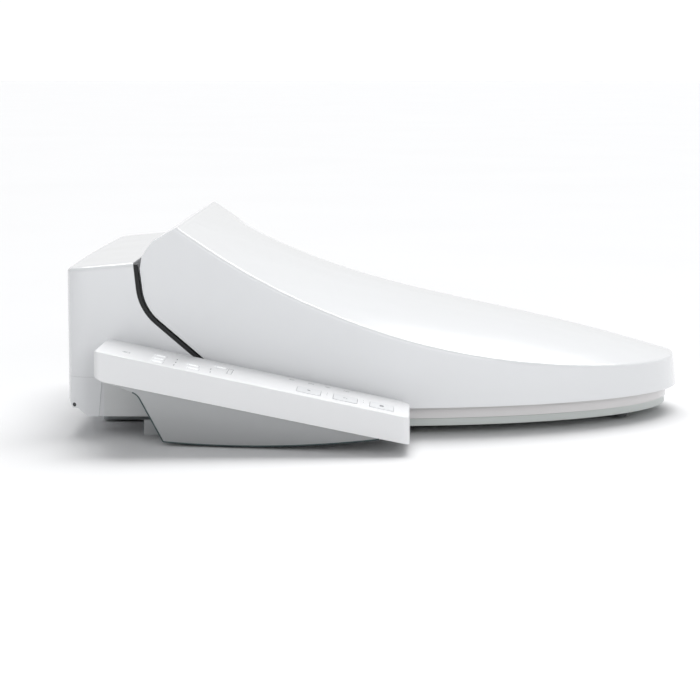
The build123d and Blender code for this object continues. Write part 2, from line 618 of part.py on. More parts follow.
# keel under the arm: inner wall upright, outer wall and rear wall undercut
KEEL_IN_X, KEEL_OUT_X = -199.0, -277.5
KEEL_WALL = 2.4
KEEL_UNDERCUT_DEG = 40.0
KEEL_FRONT_Y = -206.0
KEEL_BACK_Y = 8.0
KEEL_BEND_Y = -12.0              # where the keel's rear turns down
KEEL_FOOT_Y = -29.0
KEEL_TAB = (KEEL_IN_X - 2.4, KEEL_IN_X, -40.0, -9.0, 1.5, 14.0)  # tab behind the keel's inner wall


def keel_volume(inset):
    i = inset
    back_z = arm_low_z(KEEL_BACK_Y) - 1.0
    floor = ThreePointArc((KEEL_FOOT_Y - i, 1.8 + i), (-110.0, 0.6 + i), (KEEL_FRONT_Y + i, 10.5 + i))
    upright = Polyline((KEEL_FRONT_Y + i, 10.5 + i), (KEEL_FRONT_Y + i, arm_low_z(KEEL_FRONT_Y + i) + 6),
                       (KEEL_BACK_Y - i, arm_low_z(KEEL_BACK_Y) + 6), (KEEL_BACK_Y - i, back_z))
    rear = FilletPolyline((KEEL_BACK_Y - i, back_z), (KEEL_BEND_Y - i, 45.5), (KEEL_FOOT_Y - i, 1.8 + i),
                          radius=10.0)
    face = make_face([floor, upright, rear])
    body = prism_from(face, KEEL_OUT_X, KEEL_IN_X - i)
    lean = math.tan(math.radians(KEEL_UNDERCUT_DEG))
    y0, y1 = -300.0, 100.0
    z0, z1 = arm_low_z(y0) + 0.2, arm_low_z(y1) + 0.2
    drop = 120.0
    x_top = KEEL_OUT_X + i * 1.3
    corners0 = [(x_top - drop, y0, z0), (x_top, y0, z0), (x_top + drop * lean, y0, z0 - drop),
                (x_top - drop, y0, z0 - drop)]
    wedge = extrude(make_face(Polyline(*corners0, close=True)), amount=math.hypot(y1 - y0, z1 - z0),
                    dir=Vector(0, y1 - y0, z1 - z0).normalized())
    return body - wedge


lid_plate = side_prism([(-227.0, arm_low_z(-227.0) + 0.8), (14.0, arm_low_z(14.0) + 0.8),
                        (14.0, arm_low_z(14.0) + 2.8), (-227.0, arm_low_z(-227.0) + 2.8)],
                       ARM_OUT_X + ARM_WALL + 0.2, ARM_IN_X - ARM_WALL - 0.2)
keel = keel_volume(0.0) - keel_volume(KEEL_WALL)
over_plate = side_prism([(-240, arm_low_z(-240) + 2.8), (40, arm_low_z(40) + 2.8), (40, 140), (-240, 140)],
                        -300, -180)
parts["arm_keel"] = keel - over_plate + lid_plate + block(*KEEL_TAB)


# ------------------------------------------------------------------ bowl fixing
PLATE_X, PLATE_Y, PLATE_T = 106.0, 38.0, 5.0
PLATE_WINDOW_X = (46.0, 94.0)
PLATE_WINDOW_Y = 24.0
FIT_GAP = 0.4


def adjuster():
    """Slotted clamp that sets the bolt spacing, on the user's right."""
    x = -BOLT_SPACING / 2
    pad = block(-PLATE_WINDOW_X[1] + FIT_GAP, -PLATE_WINDOW_X[0] - FIT_GAP, -PLATE_WINDOW_Y + FIT_GAP,
                PLATE_WINDOW_Y - FIT_GAP, 0, PLATE_T + 1.2)
    lip = block(-PLATE_WINDOW_X[1] + 2, -PLATE_WINDOW_X[0] - 2, -PLATE_WINDOW_Y - 4, PLATE_WINDOW_Y + 4,
                PLATE_T,
                PLATE_T + 1.2)
    slot = Pos(x, 0, -5) * extrude(SlotOverall(BOLT_SLOT_L, 2 * BOLT_SLOT_R), amount=30)
    body = pad + lip
    for i in range(8):
        y = -PLATE_WINDOW_Y + 6 + i * 6
        if abs(y) > BOLT_SLOT_R + 3:
            body = body + block(x - 18, x + 18, y - 1, y + 1, PLATE_T + 1.2, PLATE_T + 2.0)
    return body - slot


parts["bolt_adjusters"] = Compound([*both_sides(adjuster)])

plate = block(-PLATE_X, PLATE_X, -PLATE_Y, PLATE_Y, 0, PLATE_T)
plate = fillet(plate.edges().filter_by(Axis.Z), 6)
for sign in (-1, 1):
    x0, x1 = sorted((sign * PLATE_WINDOW_X[0], sign * PLATE_WINDOW_X[1]))
    plate = plate - block(x0, x1, -PLATE_WINDOW_Y, PLATE_WINDOW_Y, -1, PLATE_T + 1)
    for a, b in ((34.0, 43.0), (96.0, 105.0)):
        r0, r1 = sorted((sign * a, sign * b))
        plate = plate + block(r0, r1, -PLATE_Y + 4, PLATE_Y - 4, PLATE_T, CASE_BOTTOM_Z)
for x in (-20, 0, 20):
    plate = plate - block(x - 7, x + 7, -28, 28, 2.5, PLATE_T + 1)
parts["fixing_plate"] = plate

parts["rest_pads"] = Compound([rod_z(0, CASE_BOTTOM_Z, x, -86, 9.0) for x in (-150, 150)])

knob = rod_x(182.2, HALF_W + 2.5, RELEASE_Y, RELEASE_Z, RELEASE_R)
knob = knob + rod_x(180.0, 182.2, RELEASE_Y, RELEASE_Z, RELEASE_R + 2)
knob = fillet(knob.edges().sort_by(Axis.X)[-1], 1.2)
latch = block(110, 180, RELEASE_Y - 3, RELEASE_Y + 3, RELEASE_Z - 4, RELEASE_Z + 4)
latch = latch + block(104, 110, RELEASE_Y - 3, RELEASE_Y + 3, RELEASE_Z - 4, RELEASE_Z + 9)
parts["release_button"] = knob
parts["release_latch"] = latch


# ------------------------------------------------------------------ wand and its drive
TIP_L = 24.0
WAND_BORE_R = 4.0
tip = fillet(along_wand(0, TIP_L, WAND_R).edges().sort_by(Axis.Z)[0], 4.5)
for y in (9.0, 14.0, 19.0):
    tip = tip - wand_frame * rod_z(2, 10, 0, y, 0.9)
parts["nozzle_tip"] = tip
wand_tube = along_wand(TIP_L, WAND_L, WAND_R - 0.2) - along_wand(TIP_L, WAND_L - 4, WAND_BORE_R)

pressure = math.radians(20)
pitch_r = MODULE * PINION_TEETH / 2
tooth_pitch = math.pi * MODULE
RACK_Z = 3.0
RACK_BACK_X = 6.0
RACK_START = 27.0


def rack():
    """Toothed bar on the wand's side, teeth towards +X."""
    root_x, tip_x = RACK_PITCH_X - 1.25 * MODULE, RACK_PITCH_X + RACK_ADDENDUM
    half = tooth_pitch / 4 - GEAR_THIN
    bar = block(RACK_BACK_X, root_x, RACK_START, WAND_L, -RACK_Z, RACK_Z)
    count = int((WAND_L - PINION_AT) / tooth_pitch)
    before = int((PINION_AT - RACK_START) / tooth_pitch)
    teeth = []
    for k in range(-before, count):
        y = PINION_AT + (k + 0.5) * tooth_pitch
        wide = half + 1.25 * MODULE * math.tan(pressure)
        thin = half - RACK_ADDENDUM * math.tan(pressure)
        outline = Polyline((root_x, y - wide), (tip_x, y - thin), (tip_x, y + thin), (root_x, y + wide),
                           close=True)
        teeth.append(Pos(0, 0, -RACK_Z) * extrude(make_face(outline), amount=2 * RACK_Z))
    bar = bar + teeth
    return wand_frame * (bar - rod_y(RACK_START - 5, WAND_L + 5, 0, 0, WAND_R - 0.2))


parts["nozzle_wand"] = wand_tube + rack()


def involute(angle):
    return math.tan(angle) - angle


def pinion():
    """Spur pinion that drives the rack, with a tooth centred on the rack."""
    base_r = pitch_r * math.cos(pressure)
    root_r, tip_r = pitch_r - 1.0 * MODULE, pitch_r + MODULE
    half_pitch = (tooth_pitch / 2 - 2 * GEAR_THIN) / (2 * pitch_r)

    def half_angle(r):
        return half_pitch + involute(pressure) - involute(math.acos(min(1.0, base_r / r)))

    steps = 5
    radii = [root_r] + [base_r + (tip_r - base_r) * i / steps for i in range(steps + 1)]
    points = []
    for k in range(PINION_TEETH):
        centre = math.pi + 2 * math.pi * k / PINION_TEETH
        flank = [(r, half_angle(max(r, base_r))) for r in radii]
        points += [(r * math.cos(centre - a), r * math.sin(centre - a)) for r, a in flank]
        points += [(r * math.cos(centre + a), r * math.sin(centre + a)) for r, a in reversed(flank)]
    wheel = extrude(make_face(Polyline(*points, close=True)), amount=5.6)
    return wand_frame * Pos(RACK_PITCH_X + pitch_r, PINION_AT, -2.8) * wheel


PINION_X = RACK_PITCH_X + pitch_r
PINION_SHAFT_R = 1.5
MOTOR_TOP, MOTOR_BOTTOM, MOTOR_R = -5.6, -18.0, 8.0
shaft = wand_frame * rod_z(MOTOR_TOP - 8, -2.8, PINION_X, PINION_AT, PINION_SHAFT_R)
parts["nozzle_pinion"] = pinion() + shaft
motor = wand_frame * (rod_z(MOTOR_BOTTOM, MOTOR_TOP, PINION_X, PINION_AT, MOTOR_R)
                      - rod_z(MOTOR_TOP - 8.5, 0, PINION_X, PINION_AT, PINION_SHAFT_R + RUN_GAP))
parts["nozzle_motor"] = motor

guide = block(-12, 6.5, 34, 152, -11, -8.6) + block(-12, -9.2, 34, 152, -8.6, 6)
guide = guide + block(6.8 - 0.3, 9.3, 34, 56, -11, -3.5) + block(6.5, 26.5, 36, 54, MOTOR_TOP, -3.5)
guide = guide - rod_z(-30, 0, PINION_X, PINION_AT, PINION_SHAFT_R + 0.5) - rod_z(-30, MOTOR_TOP, PINION_X,
                                                                                 PINION_AT, MOTOR_R)
for y in (62, 100, 136):
    guide = guide + block(-5, 5, y, y + 4, -8.6, -WAND_R - 0.4)
guide = guide + block(-12, 12, 152, 155, -11, 6)
guide = wand_frame * guide
guide = guide + block(-10, -4, -40, -34, CASE_BOTTOM_Z + CASE_WALL, 42) + block(-10, -4, 12, 18,
                                                                                CASE_BOTTOM_Z + CASE_WALL, 70)
parts["nozzle_guide"] = guide

hood = along_wand(-5, 30, HOOD_R) - along_wand(-20, 40, HOOD_BORE_R) - wand_block(0, 14, -20, 40, -4.2, 4.2)
parts["nozzle_hood"] = hood


# ------------------------------------------------------------------ water path
inlet = rod_z(1.5, 14, INLET_X, INLET_Y, INLET_R)
inlet = inlet + rod_z(14, 18, INLET_X, INLET_Y, 13.9)
inlet = inlet + rod_z(18, 30, INLET_X, INLET_Y, 10)
parts["water_inlet"] = inlet - rod_z(0, 31, INLET_X, INLET_Y, 5.5)
strainer = rod_z(3, 10, INLET_X, INLET_Y, 5.5) - rod_z(4.2, 11, INLET_X, INLET_Y, 4.6)
for i in range(6):
    turn = math.radians(60 * i)
    strainer = strainer - rod_z(2, 5, INLET_X + 2.6 * math.cos(turn), INLET_Y + 2.6 * math.sin(turn), 0.8)
parts["inlet_strainer"] = strainer
parts["solenoid_valve"] = block(132, 168, -6, 20, 30, 62)
coil = rod_z(62, 86, INLET_X, INLET_Y, 11) + rod_z(86, 89, INLET_X, INLET_Y, 6)
parts["valve_coil"] = coil + block(143, 157, 14, 22, 66, 82)

TANK = (-102.0, -28.0, 6.0, 50.0, 25.0, 100.0)
tank = block(*TANK)
tank = fillet(tank.edges().filter_by(Axis.Z), 8)
tank_inside = block(TANK[0] + 2.5, TANK[1] - 2.5, TANK[2] + 2.5, TANK[3] - 2.5, TANK[4] + 2.5, TANK[5] + 1)
tank_inside = fillet(tank_inside.edges().filter_by(Axis.Z), 5.5)
parts["heater_tank"] = tank - tank_inside
tank_cover = fillet(block(TANK[0], TANK[1], TANK[2], TANK[3], TANK[5], 104).edges().filter_by(Axis.Z), 8)
element = rod_z(36, 103, -80, 28, 3) + rod_z(36, 103, -52, 28, 3) + rod_x(-80, -52, 28, 36, 3)
element = element + Pos(-80, 28, 36) * Sphere(3) + Pos(-52, 28, 36) * Sphere(3)
parts["heating_element"] = element
parts["tank_cover"] = tank_cover - element

drain = rod_z(CASE_BOTTOM_Z, 20, DRAIN_X, DRAIN_Y, DRAIN_R) + rod_z(11, CASE_BOTTOM_Z, DRAIN_X, DRAIN_Y, 9)
drain = drain + block(DRAIN_X - 1.5, DRAIN_X + 1.5, DRAIN_Y - 8, DRAIN_Y + 8, 8.5, 11)
parts["drain_plug"] = drain

pump_body = rod_y(6, 46, 44, 95, 13)
parts["water_pump"] = pump_body + rod_y(2.9 + 0.4, 6, 44, 95, 5)
pump_hose = rod_x(12, 34, 38, 92, 3) - rod_x(11, 35, 38, 92, 1.8) - pump_body
HOSE_BEND = 9.0
inlet_hose = tube([(132, 12, 54), (112, 12, 54), (112, 12, 118), (-64, 12, 118), (-64, 12, 104)], HOSE_BEND,
                  4.0, 2.6)
tank_hose = tube([(-28, 44, 60), (44, 44, 60), (44, 44, 82)], HOSE_BEND, 3.0, 1.8)
parts["water_hoses"] = Compound([pump_hose, inlet_hose, tank_hose])


# ------------------------------------------------------------------ deodoriser
fan_case = rod_x(62, 100, FAN_Y, FAN_Z, 20) - rod_x(64, 98, FAN_Y, FAN_Z, 18)
fan_case = fan_case - rod_x(97, 101, FAN_Y, FAN_Z, 7.5) - rod_x(61, 65, FAN_Y, FAN_Z, 2.5)
parts["fan_housing"] = fan_case
rotor = rod_x(68, 70, FAN_Y, FAN_Z, 16.5) + rod_x(66, 84, FAN_Y, FAN_Z, 5)
for i in range(12):
    rotor = rotor + Pos(0, FAN_Y, FAN_Z) * Rot(30 * i, 0, 0) * block(70, 92, -0.6, 0.6, 9, 16.5)
rotor = rotor + (rod_x(90.5, 92, FAN_Y, FAN_Z, 16.5) - rod_x(90, 93, FAN_Y, FAN_Z, 9))
parts["fan_rotor"] = rotor + rod_x(53, 66, FAN_Y, FAN_Z, 1.5)
parts["fan_motor"] = rod_x(46, 62, FAN_Y, FAN_Z, 10) - rod_x(52, 63, FAN_Y, FAN_Z, 1.5 + RUN_GAP)
duct_hole = block(99, 122, FAN_Y + 2, FAN_Y + 14, 42, 56)
duct = block(100, 121.2, FAN_Y - 1, FAN_Y + 16, 40, 58) + block(118, 121.2, 22, 50, 30.6, 58)
duct = duct + block(121.2, 178, 22, 50, 30.6, 33.4)
parts["air_duct"] = duct - duct_hole

cartridge = block(CART_X[0] + 0.5, CART_X[1], *CART_Y, *CART_Z) & case_outer
cartridge = cartridge - block(CART_X[0] + 3, 183, CART_Y[0] + 2, CART_Y[1] - 2, CART_Z[0] + 2,
                              CART_Z[1] + 1)
for i in range(3):
    z = CART_Z[0] + 8 + 6 * i
    cartridge = cartridge - block(CART_X[0], CART_X[0] + 5, CART_Y[0] + 6, CART_Y[1] - 4, z, z + 3)
cartridge = cartridge - block(185.6, 190, CART_Y[0] + 6, CART_Y[0] + 16, CART_Z[0] + 3, CART_Z[0] + 8)
parts["deodoriser_cartridge"] = cartridge
parts["cartridge_carbon"] = block(CART_X[0] + 12, 176, CART_Y[0] + 2, CART_Y[1] - 2, CART_Z[0] + 2,
                                  CART_Z[1] - 3)


# ------------------------------------------------------------------ electrics
BOARD_Y = (46.0, 47.6)
main_board = block(-178, -118, *BOARD_Y, 26, 128)
for x, z, w, h, d in ((-168, 110, 14, 10, 5), (-148, 100, 18, 18, 3), (-130, 112, 8, 20, 9),
                      (-160, 70, 12, 12, 11),
                      (-136, 72, 16, 9, 6)):
    main_board = main_board + block(x, x + w, BOARD_Y[0] - d, BOARD_Y[0], z - h / 2, z + h / 2)
parts["main_board"] = main_board
core = block(-172, -130, 8, 36, 24, 60) - block(-163, -139, 0, 40, 33, 51)
parts["transformer"] = core + block(-161, -141, 11, 33, 33, 51) + block(-157, -145, 8, 36, 24, 60)
gland = rod_z(CASE_BOTTOM_Z, 21, GLAND_X, GLAND_Y, GLAND_R) + rod_z(11.5, CASE_BOTTOM_Z, GLAND_X, GLAND_Y,
                                                                    10)
parts["cable_gland"] = gland - rod_z(10, 22, GLAND_X, GLAND_Y, 4)
parts["arm_cable"] = rod_x(-205, -178, 8.0, 68.0, 3.0)

slope_rad = math.radians(SLOPE_DEG)
lens_frame = Plane(origin=(-60, -40, slope_z(-40)), x_dir=(1, 0, 0),
                   z_dir=(0, -math.sin(slope_rad), math.cos(slope_rad)))
lens = lens_frame * Pos(0, 0, -CASE_WALL - 1) * extrude(SlotOverall(20, 10), amount=CASE_WALL + 1)
parts["presence_sensor"] = lens
parts["upper_casing"] = parts["upper_casing"] - lens


# ------------------------------------------------------------------ files
os.makedirs("parts", exist_ok=True)
for name, shape in parts.items():
    export_step(shape, f"parts/{name}.step")
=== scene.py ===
import json
import math

import bmesh
import bpy
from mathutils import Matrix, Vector

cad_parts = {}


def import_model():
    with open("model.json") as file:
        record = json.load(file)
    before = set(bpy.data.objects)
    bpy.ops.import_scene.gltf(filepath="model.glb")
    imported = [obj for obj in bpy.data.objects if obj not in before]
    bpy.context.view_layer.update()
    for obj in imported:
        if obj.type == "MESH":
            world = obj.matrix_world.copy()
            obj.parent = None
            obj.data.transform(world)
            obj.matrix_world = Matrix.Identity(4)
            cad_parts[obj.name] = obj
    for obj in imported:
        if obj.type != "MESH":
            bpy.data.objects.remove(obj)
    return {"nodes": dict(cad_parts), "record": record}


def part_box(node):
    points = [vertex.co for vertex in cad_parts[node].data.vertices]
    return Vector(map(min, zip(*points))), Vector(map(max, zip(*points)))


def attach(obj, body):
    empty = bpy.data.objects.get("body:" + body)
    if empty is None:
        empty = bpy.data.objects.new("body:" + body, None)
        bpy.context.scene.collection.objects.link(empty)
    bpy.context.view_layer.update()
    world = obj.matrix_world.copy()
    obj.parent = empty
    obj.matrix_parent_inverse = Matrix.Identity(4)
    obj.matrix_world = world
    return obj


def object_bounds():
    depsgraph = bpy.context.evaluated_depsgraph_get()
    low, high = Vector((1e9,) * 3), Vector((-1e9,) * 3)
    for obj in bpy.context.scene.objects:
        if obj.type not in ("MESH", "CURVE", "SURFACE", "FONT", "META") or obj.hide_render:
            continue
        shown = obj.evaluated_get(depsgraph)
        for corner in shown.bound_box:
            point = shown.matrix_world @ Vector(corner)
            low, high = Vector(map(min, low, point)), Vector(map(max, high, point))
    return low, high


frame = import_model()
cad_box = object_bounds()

# ------------------------------------------------------------------ sizes, in metres
MM = 0.001

CAMERA_DISTANCE = 2.2            # from the origin, out on the user's right
CAMERA_Y = -0.24184
CAMERA_Z = 0.31463
CAMERA_YAW = 0.03054             # radians
CAMERA_PITCH = 0.12008
CAMERA_LENS = 125.1              # millimetres
SENSOR_WIDTH = 36.0              # millimetres
VIEW_NEAR, VIEW_FAR = 0.05, 60.0

FLOOR_SIZE = 60.0
FLOOR_DROP = 0.002               # floor this far under the object's lowest point
FLOOR_SHADES = ((0.87, 0.87, 0.875), (0.90, 0.90, 0.905))
AIR_COLOUR = (0.97, 0.985, 1.0, 1)
AIR_STRENGTH = 0.36
WALL_STRENGTH = 1.05
WALL_IN_REFLECTIONS = 0.66       # how much of the white wall a reflection sees
SKY_STRENGTH = 2.6
SKY_SPREAD_DEG = 50.0
SKY_AIM = (-0.60, 0.12, -1.0)
FILL_PLACE = (-2.6, -1.2, 1.0)
FILL_AIM = (0, -0.2, 0.08)
FILL_SIZE = (1.8, 1.2)
FILL_WATTS = 18.0

SMOOTH_DEG = 30.0                # a piece's edges sharper than this stay sharp
KEY_TOP = 0.0004                 # the keys stand this far out of the arm's top
PRINT_UP = 0.02 * MM             # printed marks start this far over a surface
PRINT_THICK = 0.06 * MM
ARC_STEPS = 24
FRAME_W, FRAME_H, FRAME_LINE = 4.3 * MM, 4.7 * MM, 0.25 * MM    # half sizes and line of a window's frame
WINDOW_FACE = 1e-5               # square metres; a window's top face is larger than this
WINDOW_PITCH = 0.008             # face middles closer than this belong to one window
# the keel's edge line is painted shade: a thin dark tube where the edge turns away from the light
KEEL_SHADE_LINE_R = 0.0006
KEEL_SHADE_LINE_TOP = 0.052            # the painted shade line stays below this height
KEEL_CORNER_DEG = 25.0           # an edge bent more than this is a corner

# places on the arm, millimetres in from its outer side and back from its front end
POWER_AT = (30.5, 229.2)
LEVEL_AT = (44.5, 146.7)
LEVEL_W, LEVEL_H, LEVEL_LINE = 14.2 * MM, 2.0 * MM, 0.3 * MM
DASH_IN = 73.5
DASHES_BACK = (98.0, 81.9, 68.2, 52.7)
LINES_AT = ((49.5, 190.2), (33.0, 189.7), (16.5, 189.7), (36.5, 161.7), (20.0, 160.7))

NODES = frame["nodes"]
SLOT_OF = {s["node"]: s["material_slot"] for s in frame["record"]["subparts"]}


# ------------------------------------------------------------------ materials
def new_material(name):
    """Empty material with a Principled shader, and its parts."""
    mat = bpy.data.materials.new(name)
    mat.use_nodes = True
    tree = mat.node_tree
    return mat, tree, tree.nodes["Principled BSDF"]


def noise(tree, scale, detail=3.0, rough=0.5, stretch=(1, 1, 1)):
    """Noise over the object's own coordinates."""
    coords = tree.nodes.new("ShaderNodeTexCoord")
    mapping = tree.nodes.new("ShaderNodeMapping")
    mapping.inputs["Scale"].default_value = stretch
    tex = tree.nodes.new("ShaderNodeTexNoise")
    tex.inputs["Scale"].default_value = scale
    tex.inputs["Detail"].default_value = detail
    tex.inputs["Roughness"].default_value = rough
    tree.links.new(coords.outputs["Object"], mapping.inputs["Vector"])
    tree.links.new(mapping.outputs["Vector"], tex.inputs["Vector"])
    return tex.outputs["Fac"]


def spread(tree, source, low, high):
    """Maps the noise's middle stretch onto low to high."""
    ramp = tree.nodes.new("ShaderNodeMapRange")
    ramp.inputs["From Min"].default_value = 0.3
    ramp.inputs["From Max"].default_value = 0.7
    ramp.inputs["To Min"].default_value = low
    ramp.inputs["To Max"].default_value = high
    tree.links.new(source, ramp.inputs["Value"])
    return ramp.outputs["Result"]


def bump(tree, shader, height, strength, distance):
    """Fine relief from a height map, distance in metres."""
    node = tree.nodes.new("ShaderNodeBump")
    node.inputs["Strength"].default_value = strength
    node.inputs["Distance"].default_value = distance
    tree.links.new(height, node.inputs["Height"])
    tree.links.new(node.outputs["Normal"], shader.inputs["Normal"])


def tint(tree, shader, source, dark, light):
    """Base colour that wanders between two close colours."""
    mix = tree.nodes.new("ShaderNodeMix")
    mix.data_type = "RGBA"
    mix.inputs["A"].default_value = (*dark, 1)
    mix.inputs["B"].default_value = (*light, 1)
    tree.links.new(source, mix.inputs["Factor"])
    tree.links.new(mix.outputs["Result"], shader.inputs["Base Color"])


def plastic(name, colour, rough, coat=0.0, grain=900.0, grain_depth=0.000002, wander=0.015, glow=0.0):
    """Moulded plastic: fine grain, slightly uneven gloss and shade."""
    mat, tree, shader = new_material(name)
    broad = noise(tree, 7.0, 2.0)
    tint(tree, shader, broad, [c * (1 - wander) for c in colour], colour)
    fine = noise(tree, grain, 2.0)
    rough_map = spread(tree, noise(tree, 14.0, 3.0), rough * 0.94, rough * 1.06)
    tree.links.new(rough_map, shader.inputs["Roughness"])
    bump(tree, shader, fine, 0.25, grain_depth)
    shader.inputs["IOR"].default_value = 1.49
    shader.inputs["Coat Weight"].default_value = coat
    shader.inputs["Coat Roughness"].default_value = 0.04
    if glow:
        shader.inputs["Subsurface Weight"].default_value = glow
        shader.inputs["Subsurface Radius"].default_value = (0.004, 0.004, 0.004)
        shader.inputs["Subsurface Scale"].default_value = 1.0
    return mat


def rubber(name, colour, rough):
    """Matt rubber with a coarse grain."""
    mat, tree, shader = new_material(name)
    tint(tree, shader, noise(tree, 40.0, 4.0), [c * 0.8 for c in colour], colour)
    rough_map = spread(tree, noise(tree, 120.0), rough * 0.85, min(1.0, rough * 1.1))
    tree.links.new(rough_map, shader.inputs["Roughness"])
    bump(tree, shader, noise(tree, 1400.0, 3.0, 0.6), 0.4, 0.00003)
    shader.inputs["IOR"].default_value = 1.51
    return mat


def metal(name, colour, rough, stretch=(1, 1, 12)):
    """Bare metal with fine lines; stretch sets their direction."""
    mat, tree, shader = new_material(name)
    shader.inputs["Metallic"].default_value = 1.0
    lines = noise(tree, 260.0, 4.0, 0.6, stretch)
    tint(tree, shader, lines, [c * 0.82 for c in colour], colour)
    tree.links.new(spread(tree, lines, rough * 0.75, rough * 1.3), shader.inputs["Roughness"])
    bump(tree, shader, lines, 0.2, 0.00002)
    return mat


def clear(name, colour, rough):
    """Frosted light window, with a faint white emission: a painted glow that makes it brighter than the
    lamps do.
    """
    mat, tree, shader = new_material(name)
    tint(tree, shader, noise(tree, 60.0), [c * 0.97 for c in colour], colour)
    tree.links.new(spread(tree, noise(tree, 500.0), rough * 0.8, rough * 1.2), shader.inputs["Roughness"])
    # painted glow: a faint white emission lifts the window's brightness
    shader.inputs["Emission Color"].default_value = (1, 1, 1, 1)
    shader.inputs["Emission Strength"].default_value = 0.35
    shader.inputs["IOR"].default_value = 1.49
    bump(tree, shader, noise(tree, 2200.0), 0.3, 0.00001)
    return mat


def carbon(name):
    """Activated carbon granules."""
    mat, tree, shader = new_material(name)
    cells = tree.nodes.new("ShaderNodeTexVoronoi")
    coords = tree.nodes.new("ShaderNodeTexCoord")
    cells.inputs["Scale"].default_value = 420.0
    tree.links.new(coords.outputs["Object"], cells.inputs["Vector"])
    tint(tree, shader, cells.outputs["Distance"], (0.02, 0.02, 0.02), (0.07, 0.07, 0.075))
    tree.links.new(spread(tree, cells.outputs["Distance"], 0.5, 0.9), shader.inputs["Roughness"])
    bump(tree, shader, cells.outputs["Distance"], 0.8, 0.0006)
    return mat


MATERIALS = {
    "white_gloss": plastic("white_gloss", (0.86, 0.87, 0.885), 0.16, coat=0.5, glow=0.06),
    # seat_white and seat_under are shaded copies of the white: darker, and greyer green below, painted shade
    # for the ring lying under the lid
    "seat_white": plastic("seat_white", (0.76, 0.745, 0.745), 0.22, coat=0.3, glow=0.06),
    "seat_under": plastic("seat_under", (0.60, 0.635, 0.62), 0.38, grain_depth=0.00004),
    # black_trim is painted shade: a near-black piece fills the gap between lid and rear housing, where there
    # is only deep shadow
    "black_trim": plastic("black_trim", (0.004, 0.0045, 0.005), 0.58, grain_depth=0.00004, wander=0.1),
    "pad_grey": rubber("pad_grey", (0.13, 0.135, 0.14), 0.62),
    "arm_white": plastic("arm_white", (0.87, 0.875, 0.885), 0.34, coat=0.08, glow=0.05),
    # greyer copy of the white plastic: painted shade for the side panel under the arm
    "panel_painted_shade": plastic("panel_painted_shade", (0.78, 0.79, 0.79), 0.40),
    "arm_grey": plastic("arm_grey", (0.52, 0.53, 0.535), 0.40, grain_depth=0.00004),
    "frame_grey": plastic("frame_grey", (0.34, 0.36, 0.37), 0.5, grain_depth=0.00005),
    "dark_plastic": plastic("dark_plastic", (0.035, 0.036, 0.04), 0.48, grain_depth=0.00005, wander=0.1),
    "key_white": plastic("key_white", (0.80, 0.81, 0.825), 0.30, coat=0.1, glow=0.05),
    "window_clear": clear("window_clear", (0.93, 0.95, 0.96), 0.22),
    "steel": metal("steel", (0.62, 0.62, 0.63), 0.28),
    "brass": metal("brass", (0.72, 0.53, 0.25), 0.25),
    "zinc": metal("zinc", (0.55, 0.56, 0.58), 0.42, (1, 1, 1)),
    "board_green": plastic("board_green", (0.02, 0.16, 0.07), 0.35, coat=0.3, wander=0.3),
    "coil_blue": plastic("coil_blue", (0.05, 0.11, 0.30), 0.5, wander=0.1),
    "carbon": carbon("carbon"),
    "hose_clear": rubber("hose_clear", (0.62, 0.65, 0.66), 0.35),
    "foil": metal("foil", (0.80, 0.66, 0.42), 0.33, (1, 1, 1)),
    "wand_white": plastic("wand_white", (0.82, 0.84, 0.85), 0.14, coat=0.5),
    "print_grey": plastic("print_grey", (0.20, 0.21, 0.22), 0.5),
    "line_grey": plastic("line_grey", (0.50, 0.51, 0.52), 0.4),
    # dark teal, painted shade along the keel's side edges
    "keel_shade_line": plastic("keel_shade_line", (0.05, 0.085, 0.09), 0.4, wander=0.1),
}


def dress(obj, slot):
    """Gives a node its one material."""
    obj.data.materials.clear()
    obj.data.materials.append(MATERIALS[slot])


for node_name, node in NODES.items():
    dress(node, SLOT_OF[node_name])
dress(NODES["arm_cover"], "arm_white")
# the side panel takes the painted-shade grey
dress(NODES["side_panel"], "panel_painted_shade")


# ------------------------------------------------------------------ piece helpers
def mesh_piece(name, bm, material, body):
    """Turns a bmesh in the row frame into a piece that rides on a body."""
    mesh = bpy.data.meshes.new(name)
    bmesh.ops.recalc_face_normals(bm, faces=bm.faces)
    bm.to_mesh(mesh)
    bm.free()
    obj = bpy.data.objects.new(name, mesh)
    bpy.context.scene.collection.objects.link(obj)
    mesh.materials.append(MATERIALS[material])
    for poly in mesh.polygons:
        poly.use_smooth = True
    with bpy.context.temp_override(object=obj, active_object=obj, selected_objects=[obj]):
        bpy.ops.object.shade_smooth_by_angle(angle=math.radians(SMOOTH_DEG))
    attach(obj, body)


def flat_facing(node, lean, alike=0.9995):
    """Middle and normal of a node's faces that point a given way."""
    middle, normal, total = Vector(), Vector(), 0.0
    for poly in NODES[node].data.polygons:
        if poly.normal.dot(lean) > alike:
            middle += poly.center * poly.area
            normal += poly.normal * poly.area
            total += poly.area
    return middle / total, normal.normalized()


arm_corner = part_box("arm_cover")[0]
front_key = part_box("front_wash_button")[1]
stop_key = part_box("stop_button")[1]
arm_rise = (front_key.z - stop_key.z) / (front_key.y - stop_key.y)
arm_middle, arm_normal = flat_facing("arm_cover", Vector((0, -arm_rise, 1)).normalized())
arm_back = arm_normal.cross(Vector((1, 0, 0)))


def on_arm(inward, back):
    """x and y of a place on the arm, from millimetres in from its outer side and back from its front end."""
    return arm_corner.x + inward * MM, arm_corner.y + back * MM


def arm_point(x, y, up=0.0):
    """Point on the arm's top at (x, y), raised square to it."""
    below = (Vector((x, y, 0)) - arm_middle).dot(arm_normal)
    z = -below / arm_normal.z
    return Vector((x, y, z)) + arm_normal * up


